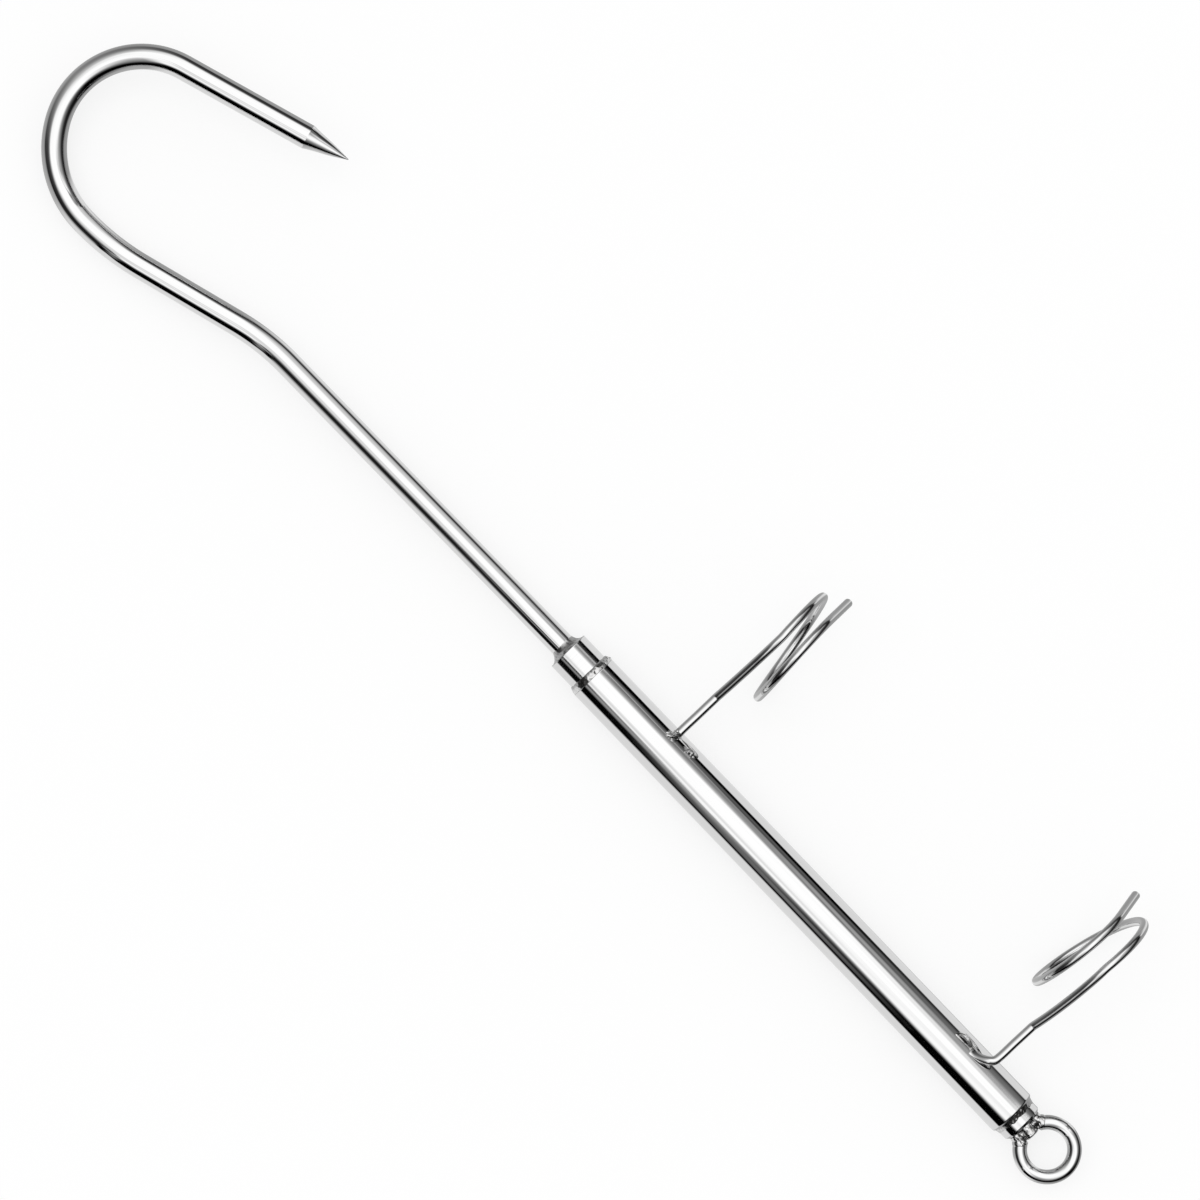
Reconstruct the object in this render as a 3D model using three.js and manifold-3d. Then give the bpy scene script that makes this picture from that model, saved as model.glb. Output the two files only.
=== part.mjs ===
// A sliding cliff gaff in polished stainless steel: a round bar bent into a hook, held by a
// collar in the mouth of a weighted tube, with two pigtail line guides welded along the tube
// and a rope eye welded to its tail. Lengths are in millimetres and angles in degrees.
//
// The gaff is drawn with +X along the tube towards the rope eye, x = 0 at the tube's mouth,
// +Y in the hook's plane on the side of its point, and +Z towards the feet of the guides.
// At the end it is rolled about the tube until it lies on z = 0 on the tube and a coil.
import * as THREE from 'three';
import { mergeVertices } from 'three/addons/utils/BufferGeometryUtils.js';
import Module from 'manifold-3d';

const wasm = await Module();
wasm.setup();

// Fits and facets
const seatGap = 0.3;
const cutOverrun = 2;
const roundSides = 36;
const barSides = 18;
const wireSides = 8;
const ringSides = 12;
const blobSides = 12;
const barStep = 4;
const wireStep = 2;
const ringStep = 2;
const filletSteps = 3;
const heelSteps = 4;
const leanSteps = 4;
const arcSteps = 2;
const endSteps = 3;

// Weighted tube
const tubeDiameter = 20;
const tubeWall = 1;
const tubeLength = 235;
const tubeEndChamfer = 0.6;

// Hook, from the collar to the tip
const barDiameter = 10;
const rodLean = 0.36;
const rodRun = 155;
const crankRadius = 97;
const crankAngle = 15.2;
const throatRun = 43;
const easeRadius = 106;
const easeAngle = 15.5;
const shoulderRadius = 40.5;
const shoulderAngle = 60;
const bendRadius = 33.8;
const bendAngle = 103.2;
const pointRun = 55;
const pointLength = 17.8;
const pointSwellShare = 0.56;
const tipDiameter = 0.5;

// Collar in the tube's mouth
const collarSeat = 20;
const collarExposed = 14.2;
const collarEdge = 0.4;

// Plug in the tube's tail
const plugSeat = 20;
const plugExposed = 6.2;
const plugEdge = 0.8;

// Rope eye
const ringBarDiameter = 5.7;
const ringInnerDiameter = 15.6;
const stubDiameter = 6.2;
const stubReachShare = 0.95;

// Line guides. A foot lies along the tube, foot angle round from +Y towards +Z. A stem stands
// off the tube at an inset from its mouth or its tail. At kink height above the foot's centre
// line it is kinked and begins to lean.
const wireDiameter = 3.5;
const footAngle = 57;
const kinkHeight = 22.5;
const kinkRun = 1.5;
const stemDriftShare = 0.15;
const driftPower = 2.5;
const coilSweep = 412;
const coilPointAngle = 15;
const endRun = 16.8;
const frontGuideInset = 38.5;
const rearGuideInset = 20.4;
const frontGuide = {
  hand: 1,
  station: frontGuideInset,
  footRun: 10,
  heelRun: 2.6,
  heelRise: 2.6,
  heelBeadShift: -1.6,
  reach: 63.4,
  coilRadius: 22.6,
  coilShift: 1.8,
  pitch: 8.9,
  lean: 2.95,
  slew: 1.2,
};
const rearGuide = {
  hand: -1,
  station: tubeLength - rearGuideInset,
  footRun: 15.2,
  heelRun: 6,
  heelRise: 4,
  heelBeadShift: 6.8,
  reach: 65.1,
  coilRadius: 22.8,
  coilShift: 1.2,
  pitch: 10.5,
  lean: 3.45,
  slew: 1.44,
};

// Welds
const rodWeldLeg = 3.6;
const mouthBeadLength = 3.9;
const tailBeadLength = 2.4;
const beadFeather = 0.3;
const footBeadLength = 7;
const footBeadWidth = 5.2;
const footBeadHeight = 6;
const footBeadSinkShare = 0.25;
const toeBeadInset = 1.2;
const eyeBeadLength = 11;
const eyeBeadThickness = 1.2;
const eyeBeadAngle = 30;
const eyeRootLength = 5.4;
const eyeRootWidth = 6.6;
const eyeRootShare = 0.66;

// Sizes that follow
const tubeRadius = tubeDiameter / 2;
const boreRadius = tubeRadius - tubeWall;
const plugRadius = boreRadius - seatGap;
const barRadius = barDiameter / 2;
const wireRadius = wireDiameter / 2;
const footRadius = tubeRadius + seatGap + wireRadius;
const plugFace = tubeLength + plugExposed;
const stubRadius = stubDiameter / 2;
const stubEnd = plugFace + ringBarDiameter * stubReachShare;
const ringInnerRadius = ringInnerDiameter / 2;
const ringBarRadius = ringBarDiameter / 2;
const ringRadius = ringInnerRadius + ringBarRadius;
const ringOuterRadius = ringInnerRadius + ringBarDiameter;
const ringCentre = stubEnd + ringInnerRadius;

// Angles
const halfTurn = Math.PI;
const quarterTurn = Math.PI / 2;
const fullTurn = Math.PI * 2;
const radians = THREE.MathUtils.degToRad;

// Finishes
const polishedSteel = new THREE.MeshStandardMaterial({
  color: 0xd9dbdd,
  metalness: 1,
  roughness: 0.08,
});
const drawnWire = new THREE.MeshStandardMaterial({
  color: 0xb4b6b8,
  metalness: 1,
  roughness: 0.25,
});
const weldMetal = new THREE.MeshStandardMaterial({
  color: 0x9a9b9c,
  metalness: 1,
  roughness: 0.45,
});
const castLead = new THREE.MeshStandardMaterial({
  color: 0x6b6e73,
  metalness: 0.6,
  roughness: 0.7,
});

// An arc in a plane of constant z that starts at a point, facing a heading, and turns left
// for a positive turn.
class FlatArc extends THREE.Curve {
  constructor(start, heading, radius, turn) {
    super();
    this.side = Math.sign(turn);
    this.radius = radius;
    this.heading = heading;
    this.turn = turn;
    this.centre = start.clone().addScaledVector(leftOf(heading), this.side * radius);
  }

  getPoint(t, target = new THREE.Vector3()) {
    const outward = leftOf(this.heading + this.turn * t);
    return target.copy(this.centre).addScaledVector(outward, -this.side * this.radius);
  }
}

function ahead(heading) {
  return new THREE.Vector3(Math.cos(heading), Math.sin(heading), 0);
}

function leftOf(heading) {
  return ahead(heading + quarterTurn);
}

// A line of straight runs and bends. Gives the line, and where and how it ends.
function bentLine(start, heading, legs) {
  const line = new THREE.CurvePath();
  let here = start;
  let facing = heading;
  for (const leg of legs) {
    if (leg.run) {
      const next = here.clone().addScaledVector(ahead(facing), leg.run);
      line.add(new THREE.LineCurve3(here, next));
      here = next;
    } else {
      const arc = new FlatArc(here, facing, leg.radius, radians(leg.turn));
      line.add(arc);
      here = arc.getPoint(1);
      facing += arc.turn;
    }
  }
  return { line, here, facing };
}

// Round bar of a radius along a curve, in steps of a length.
function roundBar(curve, radius, sides, step) {
  const corners = [];
  for (let i = 0; i < sides; i += 1) {
    const angle = (i / sides) * fullTurn;
    corners.push(new THREE.Vector2(radius * Math.cos(angle), radius * Math.sin(angle)));
  }
  return new THREE.ExtrudeGeometry(new THREE.Shape(corners), {
    steps: Math.ceil(curve.getLength() / step),
    extrudePath: curve,
    bevelEnabled: false,
  });
}

// A piece turned about X. Each corner is a place along X and a radius.
function turned(corners, sides = roundSides) {
  const outline = corners.map(([along, radius]) => new THREE.Vector2(radius, along));
  return new THREE.LatheGeometry(outline, sides).rotateZ(-quarterTurn);
}

// A hollow turned piece, closed on its first corner.
function turnedRing(corners, sides = roundSides) {
  return turned([...corners, corners[0]], sides);
}

// An egg round the origin, with its lengths along X, Y and Z.
function egg(lengthX, lengthY, lengthZ) {
  return new THREE.SphereGeometry(1, blobSides, blobSides / 2)
    .scale(lengthX / 2, lengthY / 2, lengthZ / 2);
}

function toSolid(geometry) {
  const bare = geometry.clone();
  bare.deleteAttribute('normal');
  bare.deleteAttribute('uv');
  const merged = mergeVertices(bare);
  const corners = merged.index.array;
  const faces = [];
  for (let i = 0; i < corners.length; i += 3) {
    const [a, b, c] = corners.slice(i, i + 3);
    if (a !== b && b !== c && c !== a) {
      faces.push(a, b, c);
    }
  }
  return new wasm.Manifold(new wasm.Mesh({
    numProp: 3,
    vertProperties: merged.attributes.position.array,
    triVerts: Uint32Array.from(faces),
  }));
}

function toGeometry(solid) {
  const mesh = solid.getMesh();
  const geometry = new THREE.BufferGeometry();
  geometry.setAttribute('position', new THREE.BufferAttribute(mesh.vertProperties, 3));
  geometry.setIndex(new THREE.BufferAttribute(mesh.triVerts, 1));
  geometry.computeVertexNormals();
  return geometry;
}

function piece(name, geometry, material) {
  const mesh = new THREE.Mesh(geometry, material);
  mesh.name = name;
  return mesh;
}

// Hook: bar from inside the collar, leaning slightly, a crank away from the point's side, the throat,
// and a bend that tightens towards the point, which is ground to a slightly swelled cone.
function hookRod() {
  const start = new THREE.Vector3(collarSeat, 0, 0);
  const { line, here, facing } = bentLine(start, halfTurn, [
    { run: collarSeat + collarExposed },
    { radius: crankRadius, turn: rodLean },
    { run: rodRun },
    { radius: crankRadius, turn: crankAngle },
    { run: throatRun },
    { radius: easeRadius, turn: -easeAngle },
    { radius: shoulderRadius, turn: -shoulderAngle },
    { radius: bendRadius, turn: -bendAngle },
    { run: pointRun },
  ]);
  const bar = roundBar(line, barRadius, barSides, barStep);
  const tipRadius = tipDiameter / 2;
  const point = turned([
    [-barRadius, 0],
    [0, barRadius],
    [pointLength / 2, barRadius * pointSwellShare],
    [pointLength, tipRadius],
    [pointLength + tipRadius, 0],
  ], barSides);
  point.rotateZ(facing).translate(here.x, here.y, here.z);
  return piece('hook_rod', toGeometry(toSolid(bar).add(toSolid(point))), polishedSteel);
}

function rodCollar() {
  const bore = barRadius + seatGap;
  const mesh = piece('rod_collar', turnedRing([
    [0, bore],
    [0, plugRadius - collarEdge],
    [collarEdge, plugRadius],
    [collarExposed + collarSeat, plugRadius],
    [collarExposed + collarSeat, bore],
  ]), polishedSteel);
  mesh.position.x = -collarExposed;
  return mesh;
}

// Hollow-faced fillet between the bar and the face of the collar.
function collarRodWeld() {
  const inner = barRadius + seatGap;
  const outer = plugRadius - collarEdge;
  const face = -seatGap;
  const corners = [[face - rodWeldLeg, inner]];
  for (let i = 0; i <= filletSteps; i += 1) {
    const angle = (i / filletSteps) * quarterTurn;
    const along = face - rodWeldLeg + (rodWeldLeg - beadFeather) * Math.sin(angle);
    const rise = (outer - inner - beadFeather) * (1 - Math.cos(angle));
    corners.push([along, inner + beadFeather + rise]);
  }
  corners.push([face, outer], [face, inner]);
  const mesh = piece('collar_rod_weld', turnedRing(corners), weldMetal);
  mesh.position.x = -collarExposed;
  return mesh;
}

// Full-faced bead round a plug, from the tube's end down to the plug's own surface.
function endBead(name, length, top) {
  const inner = plugRadius + seatGap;
  const corners = [[0, inner]];
  for (let i = 0; i <= filletSteps; i += 1) {
    const angle = (i / filletSteps) * quarterTurn;
    const rise = (top - inner - beadFeather) * Math.cos(angle);
    corners.push([length * Math.sin(angle), inner + beadFeather + rise]);
  }
  corners.push([length, inner]);
  return piece(name, turnedRing(corners), weldMetal);
}

function tubeCollarWeld() {
  const mesh = endBead('tube_collar_weld', mouthBeadLength - seatGap, tubeRadius);
  mesh.rotation.z = halfTurn;
  mesh.position.x = -seatGap;
  return mesh;
}

function tailPlugWeld() {
  const mesh = endBead('tail_plug_weld', tailBeadLength, tubeRadius - tubeEndChamfer);
  mesh.position.x = tubeLength + seatGap;
  return mesh;
}

function bodyTube() {
  return piece('body_tube', turnedRing([
    [0, boreRadius],
    [0, tubeRadius],
    [tubeLength - tubeEndChamfer, tubeRadius],
    [tubeLength, tubeRadius - tubeEndChamfer],
    [tubeLength, boreRadius],
  ]), polishedSteel);
}

// Lead that fills the tube between the collar and the plug.
function ballastWeight() {
  const length = tubeLength - collarSeat - plugSeat - 2 * seatGap;
  const mesh = piece('ballast_weight', turned([
    [0, 0],
    [0, plugRadius],
    [length, plugRadius],
    [length, 0],
  ]), castLead);
  mesh.position.x = collarSeat + seatGap;
  return mesh;
}

function tailPlug() {
  const length = plugSeat + plugExposed;
  const mesh = piece('tail_plug', turned([
    [0, 0],
    [0, plugRadius],
    [length - plugEdge, plugRadius],
    [length, plugRadius - plugEdge],
    [length, 0],
  ]), polishedSteel);
  mesh.position.x = tubeLength - plugSeat;
  return mesh;
}

function eyeStub() {
  const length = stubEnd - plugFace - seatGap;
  const mesh = piece('eye_stub', turned([
    [0, 0],
    [0, stubRadius],
    [length, stubRadius],
    [length, 0],
  ], barSides), polishedSteel);
  mesh.position.x = plugFace + seatGap;
  return mesh;
}

// Ring bar of a radius, open at the back where the stub stands between its ends.
function ringBar(radius) {
  const opening = Math.asin((stubRadius + seatGap) / ringInnerRadius);
  const start = leftOf(quarterTurn - opening).multiplyScalar(ringRadius);
  start.x += ringCentre;
  const arc = new FlatArc(start, quarterTurn - opening, ringRadius, 2 * opening - fullTurn);
  return roundBar(arc, radius, ringSides, ringStep);
}

// Weld metal that swells over one end of the ring and fills the corner at the plug's face.
function eyeWeld(name, side) {
  const angle = side * radians(eyeBeadAngle);
  const thickness = ringBarDiameter + eyeBeadThickness;
  const reach = ringRadius + eyeBeadThickness / 2;
  const swell = egg(thickness, eyeBeadLength, thickness)
    .rotateZ(-angle)
    .translate(ringCentre - reach * Math.cos(angle), reach * Math.sin(angle), 0);
  const root = egg(eyeRootLength, eyeRootWidth, thickness)
    .translate(plugFace + eyeRootLength / 4, side * plugRadius * eyeRootShare, 0);
  const plug = turned([
    [plugFace - plugSeat, 0],
    [plugFace - plugSeat, tubeDiameter],
    [plugFace + seatGap, tubeDiameter],
    [plugFace + seatGap, 0],
  ]);
  const stub = turned([
    [plugFace, 0],
    [plugFace, stubRadius + seatGap],
    [stubEnd + cutOverrun, stubRadius + seatGap],
    [stubEnd + cutOverrun, 0],
  ], barSides);
  const weld = toSolid(swell)
    .add(toSolid(root))
    .subtract(toSolid(plug))
    .subtract(toSolid(stub))
    .subtract(toSolid(ringBar(ringBarRadius + seatGap)));
  return piece(name, toGeometry(weld), weldMetal);
}

// Centre line of a pigtail guide: the foot along the tube, the heel, the stem, a lean out to
// the near side of the coil, the coil itself and a straight end that leaves it at a tangent.
function guideLine(guide) {
  const { hand, station, footRun, heelRun, heelRise } = guide;
  const { reach, coilRadius, coilShift, pitch, lean, slew } = guide;
  const footY = footRadius * Math.cos(radians(footAngle));
  const footZ = footRadius * Math.sin(radians(footAngle));
  const points = [];
  const add = (x, y, z) => points.push(new THREE.Vector3(x, y, z));

  add(station + hand * footRun, footY, footZ);
  add(station + hand * (footRun + heelRun) / 2, footY, footZ);
  for (let i = 0; i <= heelSteps; i += 1) {
    const angle = (i / heelSteps) * quarterTurn;
    const along = heelRun * (1 - Math.sin(angle));
    add(station + hand * along, footY + heelRise * (1 - Math.cos(angle)), footZ);
  }
  const stemTop = footY + kinkHeight;
  const stemRun = kinkHeight - heelRise;

  const coilX = (angle) => {
    const wound = (pitch * angle) / fullTurn;
    const shift = wound - lean * Math.sin(angle) - slew * Math.cos(angle);
    return station + coilShift + hand * shift;
  };
  const coilY = (angle) => reach + coilRadius * Math.sin(angle);
  const coilZ = (angle) => coilRadius * Math.cos(angle);

  // The stem leans out so that it meets the coil's circle at a tangent, and eases sideways.
  const away = Math.hypot(reach - stemTop, footZ);
  const leanOut = Math.asin(coilRadius / away) - Math.atan2(footZ, reach - stemTop);
  const leanRun = Math.sqrt(away * away - coilRadius * coilRadius);
  const leadRun = leanRun + coilRadius * leanOut;
  const stemDrift = (coilX(0) - station) * stemDriftShare;
  const drift = (run) => {
    const share = 1 - (1 - run / leadRun) ** driftPower;
    return station + stemDrift + (coilX(0) - station - stemDrift) * share;
  };
  const stemPoint = (up) => add(station + (stemDrift * up) / stemRun, stemTop - stemRun + up, footZ);
  const leanPoint = (run) => {
    add(drift(run), stemTop + run * Math.cos(leanOut), footZ + run * Math.sin(leanOut));
  };
  stemPoint(stemRun / 2);
  stemPoint(stemRun - kinkRun);
  stemPoint(stemRun);
  leanPoint(kinkRun);
  for (let i = 1; i < leanSteps; i += 1) {
    leanPoint((leanRun * i) / leanSteps);
  }
  for (let i = 0; i < arcSteps; i += 1) {
    const angle = leanOut * (i / arcSteps - 1);
    add(drift(leadRun + coilRadius * angle), coilY(angle), coilZ(angle));
  }

  const coilSteps = Math.round(coilSweep / coilPointAngle);
  const sweep = radians(coilSweep);
  for (let i = 0; i <= coilSteps; i += 1) {
    const angle = (i / coilSteps) * sweep;
    add(coilX(angle), coilY(angle), coilZ(angle));
  }

  const climb = pitch / fullTurn - lean * Math.cos(sweep) + slew * Math.sin(sweep);
  const tangent = new THREE.Vector3(
    hand * climb,
    coilRadius * Math.cos(sweep),
    -coilRadius * Math.sin(sweep),
  ).normalize();
  const leave = points[points.length - 1];
  for (let i = 1; i <= endSteps; i += 1) {
    points.push(leave.clone().addScaledVector(tangent, (endRun * i) / endSteps));
  }
  return new THREE.CatmullRomCurve3(points, false, 'centripetal');
}

// Least clear space between parts of the wire that lie half a turn of coil or more apart.
function leastWireGap(curve, guide) {
  const apart = Math.PI * guide.coilRadius;
  const count = Math.ceil(curve.getLength() / wireStep);
  const points = curve.getSpacedPoints(count);
  const skip = Math.ceil(apart / wireStep);
  let least = Infinity;
  for (let i = 0; i < points.length; i += 1) {
    for (let j = i + skip; j < points.length; j += 1) {
      least = Math.min(least, points[i].distanceTo(points[j]));
    }
  }
  return least - wireDiameter;
}

// Blob of weld over the foot, cut to clear the tube and the wire.
function footWeld(name, along, guideEnvelope) {
  const mid = radians(footAngle);
  const blob = egg(footBeadLength, footBeadHeight, footBeadWidth);
  const seat = footRadius - wireRadius * footBeadSinkShare;
  blob.rotateX(mid).translate(along, seat * Math.cos(mid), seat * Math.sin(mid));
  const tube = turned([
    [-cutOverrun, 0],
    [-cutOverrun, tubeRadius + seatGap],
    [tubeLength + cutOverrun, tubeRadius + seatGap],
    [tubeLength + cutOverrun, 0],
  ]);
  const weld = toSolid(blob).subtract(toSolid(tube)).subtract(guideEnvelope);
  return piece(name, toGeometry(weld), weldMetal);
}

function lineGuide(name, guide) {
  const curve = guideLine(guide);
  const envelope = toSolid(roundBar(curve, wireRadius + seatGap, wireSides, wireStep));
  const heel = guide.station + guide.hand * guide.heelBeadShift;
  const toe = guide.station + guide.hand * (guide.footRun - toeBeadInset);
  console.log(`${name}: least gap between turns ${leastWireGap(curve, guide).toFixed(2)} mm`);
  const group = new THREE.Group();
  group.add(
    piece(`${name}_wire`, roundBar(curve, wireRadius, wireSides, wireStep), drawnWire),
    footWeld(`${name}_heel_weld`, heel, envelope),
    footWeld(`${name}_toe_weld`, toe, envelope),
  );
  return group;
}

// The tube and the lower edge of a coil both touch the ground after a roll by this much.
function restingRoll(guide) {
  const drop = guide.coilRadius + wireRadius - tubeRadius;
  return Math.asin(drop / guide.reach);
}

const gaff = new THREE.Group();
gaff.add(
  hookRod(),
  rodCollar(),
  collarRodWeld(),
  tubeCollarWeld(),
  bodyTube(),
  ballastWeight(),
  tailPlug(),
  tailPlugWeld(),
  eyeStub(),
  piece('eye_ring', ringBar(ringBarRadius), polishedSteel),
  eyeWeld('eye_weld_left', 1),
  eyeWeld('eye_weld_right', -1),
  lineGuide('front_guide', frontGuide),
  lineGuide('rear_guide', rearGuide),
);
gaff.rotation.x = Math.max(restingRoll(frontGuide), restingRoll(rearGuide));

// The origin is the middle of the gaff's length and width, on the ground.
const extent = new THREE.Box3().setFromObject(gaff, true);
const middle = extent.getCenter(new THREE.Vector3());
gaff.position.set(-middle.x, -middle.y, -extent.min.z);

const lyingGaff = new THREE.Group();
lyingGaff.add(gaff);

export default lyingGaff;
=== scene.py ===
"""Looks of a sliding cliff gaff in polished stainless steel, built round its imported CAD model.

Shapes are drawn in the gaff's own frame in millimetres: +X along the tube towards the rope
eye, x = 0 at the tube's mouth, +Y on the side of the hook's point and of the line guides, and
+Z towards the camera. The gaff lies rolled about its tube, and to_row takes a point of that
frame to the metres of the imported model.
"""

import math

import bmesh
import bpy
import numpy as np
from mathutils import Matrix, Vector, noise


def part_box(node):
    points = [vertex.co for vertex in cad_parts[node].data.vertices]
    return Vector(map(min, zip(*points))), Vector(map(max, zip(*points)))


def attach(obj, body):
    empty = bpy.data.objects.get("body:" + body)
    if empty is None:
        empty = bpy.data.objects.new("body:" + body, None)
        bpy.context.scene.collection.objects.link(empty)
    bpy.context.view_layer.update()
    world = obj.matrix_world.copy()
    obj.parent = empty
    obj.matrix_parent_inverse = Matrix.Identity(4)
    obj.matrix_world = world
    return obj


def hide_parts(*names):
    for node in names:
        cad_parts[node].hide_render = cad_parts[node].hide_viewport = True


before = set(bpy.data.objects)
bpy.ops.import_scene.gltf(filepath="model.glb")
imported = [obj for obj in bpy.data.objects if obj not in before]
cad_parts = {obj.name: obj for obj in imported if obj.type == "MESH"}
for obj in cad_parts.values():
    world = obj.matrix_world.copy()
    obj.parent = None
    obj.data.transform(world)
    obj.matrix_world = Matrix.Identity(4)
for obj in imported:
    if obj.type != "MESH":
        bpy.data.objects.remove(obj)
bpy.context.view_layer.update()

# Gap between pieces that are seated in or on one another
SEAT_GAP = 0.3

# Weighted tube. A ring of points a little way from each corner holds the long surface's shading
TUBE_RADIUS = 10.0
TUBE_LENGTH = 235.0
TUBE_WALL = 1.0
BORE_RADIUS = TUBE_RADIUS - TUBE_WALL
MOUTH_EDGE = 0.25
TAIL_EDGE = 0.95
CORNER_HOLD = 0.15
TUBE_BAYS = 24
TURNED_SIDES = 160

# Hook, from its end inside the tube. A run has a length, and an arc a radius and a turn in
# degrees, positive to the left
BAR_RADIUS = 5.0
HOOK_START = 20.0
HOOK_LEGS = [
    ("run", 34.2),
    ("arc", 97.0, 0.36),
    ("run", 155.0),
    ("arc", 97.0, 15.2),
    ("run", 43.0),
    ("arc", 106.0, -15.5),
    ("arc", 40.5, -60.0),
    ("arc", 33.8, -103.2),
    ("run", 55.0),
    ("run", 18.05),
]
# Distances from the tip and radii of the ground point
POINT_PROFILE = [
    (17.9, 5.0), (16.4, 4.55), (13.5, 3.8), (8.9, 2.75),
    (5.2, 1.75), (2.0, 0.78), (0.3, 0.25), (0.05, 0.1),
]
LINE_STEP = 0.8
BAR_STEP = 1.2
BAR_SIDES = 64

# Collar and plug, which stand in the tube by their seat
PLUG_RADIUS = BORE_RADIUS - SEAT_GAP
SEAT = 20.0
COLLAR_BORE = BAR_RADIUS + SEAT_GAP
COLLAR_EXPOSED = 14.2
COLLAR_EDGE = 0.3
COLLAR_FACE_INSET = 0.4
COLLAR_MIDDLE = 10.0
PLUG_EXPOSED = 6.2
PLUG_EDGE = 1.1
PLUG_FACE = TUBE_LENGTH + PLUG_EXPOSED

# Rope eye
RING_BAR = 2.85
RING_RADIUS = 10.65
RING_CENTRE = PLUG_FACE + 13.215
RING_OPEN = math.radians(25.9)
RING_STEPS = 240
RING_SIDES = 56
RING_SPACING = 0.5
RING_SHORT = 0.001
RING_END_EDGE = 0.1
# Stub, its end flush with the inside of the ring, and the waves and scale of its welded skin
STUB_RADIUS = 3.1
STUB_END = RING_CENTRE - RING_RADIUS + RING_BAR
STUB_EDGE = 0.45
STUB_SUNK = 0.3
STUB_OVERRUN = 0.1
STUB_BAYS = 20
STUB_SIDES = 72
STUB_WAVE = 0.2
STUB_WAVE_SIZE = 1.3
STUB_BUMP = 0.06
STUB_BUMP_SIZE = 0.6
STUB_SEED = 51
STUB_SCALE = 0.3
STUB_WAVE_SCALE = 0.8
STUB_SMOOTH_END = 1.2
STUB_CLEAN_END = 0.6

# Line guides, with sizes that both share
WIRE_RADIUS = 1.75
FOOT_RADIUS = TUBE_RADIUS + SEAT_GAP + WIRE_RADIUS
FOOT_ANGLE = math.radians(57.0)
KINK_HEIGHT = 22.5
KINK_RUN = 1.5
STEM_DRIFT = 0.15
DRIFT_POWER = 2.5
COIL_SWEEP = math.radians(412.0)
END_RUN = 16.8
HEEL_STEPS = 4
LEAD_STEPS = 2
COIL_STEPS = 54
END_STEPS = 6
SMOOTH_STEPS = 6
TINY_TURN = 0.001
WIRE_STEP = 0.6
WIRE_SIDES = 32
WIRE_EDGE = 0.3
# Each guide. hand is the side of the stem that the foot lies on, station the stem's x, foot the
# foot's length, and heel_run and heel_rise the sizes of its bend. reach is the height of the
# coil's middle over the tube's axis, shift how far that stands from the stem along X, and lean
# and slew tilt the coil. flat is the length of foot that is pressed, ease the length on which
# the press fades out, and plumb says that it is pressed straight down.
FRONT = {
    "hand": 1, "station": 38.5, "foot": 10.0, "heel_run": 2.6, "heel_rise": 2.6,
    "reach": 63.4, "radius": 22.6, "shift": 1.8, "pitch": 8.9, "lean": 2.95, "slew": 1.2,
    "flat": 10.6, "ease": 0.9, "plumb": True,
}
REAR = {
    "hand": -1, "station": 214.6, "foot": 15.2, "heel_run": 6.0, "heel_rise": 4.0,
    "reach": 65.1, "radius": 22.8, "shift": 1.2, "pitch": 10.5, "lean": 3.45, "slew": 1.44,
    "flat": 5.6, "ease": 8.6, "plumb": False,
}
# Pressed foot: where its outside lies, how much wider it gets, and its turn round the tube
FOOT_TOP = 9.97
FOOT_SPREAD = 0.2
FOOT_TURN = math.radians(1.0)

# Turns at which a bar's end is rounded
END_TURNS = (0.0, 0.4, 0.8, 1.2)

# How far a seed moves the noise, and the marks that a weld pool leaves
SEED_STEPS = (7.3, 3.1, 5.7)
CREST_BOW = 0.55
CREST_WANDER = 0.35
CREST_WANDER_SIZE = 3.0
CREST_POWER = 0.7
CREST_MEAN = 0.6
CREST_VALLEY = 0.6
BUMP_VALLEY = 0.35
BUMP_SIZE = 1.1
WAVE_SIZE = 2.4
FOOT_WANDER = 0.35
FOOT_WANDER_SIZE = 2.6
NIB_SPREAD = 0.5
BLOB_CRESTS = 0.01
BLOB_HALF_WIDTH = 2.5
BLOB_SMOOTHINGS = 8
COARSE_GRAIN = 1.4
FINE_GRAIN = 0.6
WELD_CREASE = 80.0

# Round beads: each one's start, run along X, rise, and how deep its foot and its seat are sunk
BEAD_SIDES = 260
FINE_BEAD_SIDES = 400
BEAD_CRESTS = 0.02
FILLET_LEG = 4.0
FILLET_START = -COLLAR_EXPOSED - FILLET_LEG
FILLET_RUN = 4.15
FILLET_RISE = 3.6
FILLET_FOOT = 0.1
FILLET_SEAT = 0.4
FILLET_POWER = 0.85
FILLET_STEPS = 14
MOUTH_START = -2.9
MOUTH_RUN = 3.1
MOUTH_RISE = 1.28
MOUTH_FOOT = 0.12
MOUTH_SEAT = 0.5
MOUTH_POWER = 0.8
MOUTH_STEPS = 22
MOUTH_SEED = 23
MOUTH_NIB = (-0.8, 0.0, 0.4)
# Where across its -Y side the mouth bead is darker, and how much
MOUTH_DARK_SHARES = [-0.68, -0.6, -0.26, -0.2]
MOUTH_SIDE_DARK = 0.8
MOUTH_CURL_DARK = 1.8
MOUTH_CURL_FROM = 0.12
MOUTH_CURL_SIZE = 1.0
MOUTH_VALLEY_SHARE = 0.25
TAIL_LAP = 0.3
TAIL_START = TUBE_LENGTH - TAIL_LAP
TAIL_RUN = 3.0
TAIL_RISE = 0.8
TAIL_FOOT = 0.08
TAIL_SEAT = 0.5
TAIL_POWER = 1.3
TAIL_STEPS = 16
TAIL_SEED = 37
# Painted dark reflection on the tail bead where it faces along Z: its darkness, where it starts and how it
# eases in, and clean bright spots that break it up
TAIL_PAINTED_DARK = 0.95
TAIL_PAINTED_FROM_SHARE = 0.76
TAIL_PAINTED_EASE_SHARE = 0.12
TAIL_BRIGHT = 2.4
TAIL_BRIGHT_FROM = 0.08
TAIL_BRIGHT_SIZE = 0.8
TAIL_VALLEY_SHARE = 0.2

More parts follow.
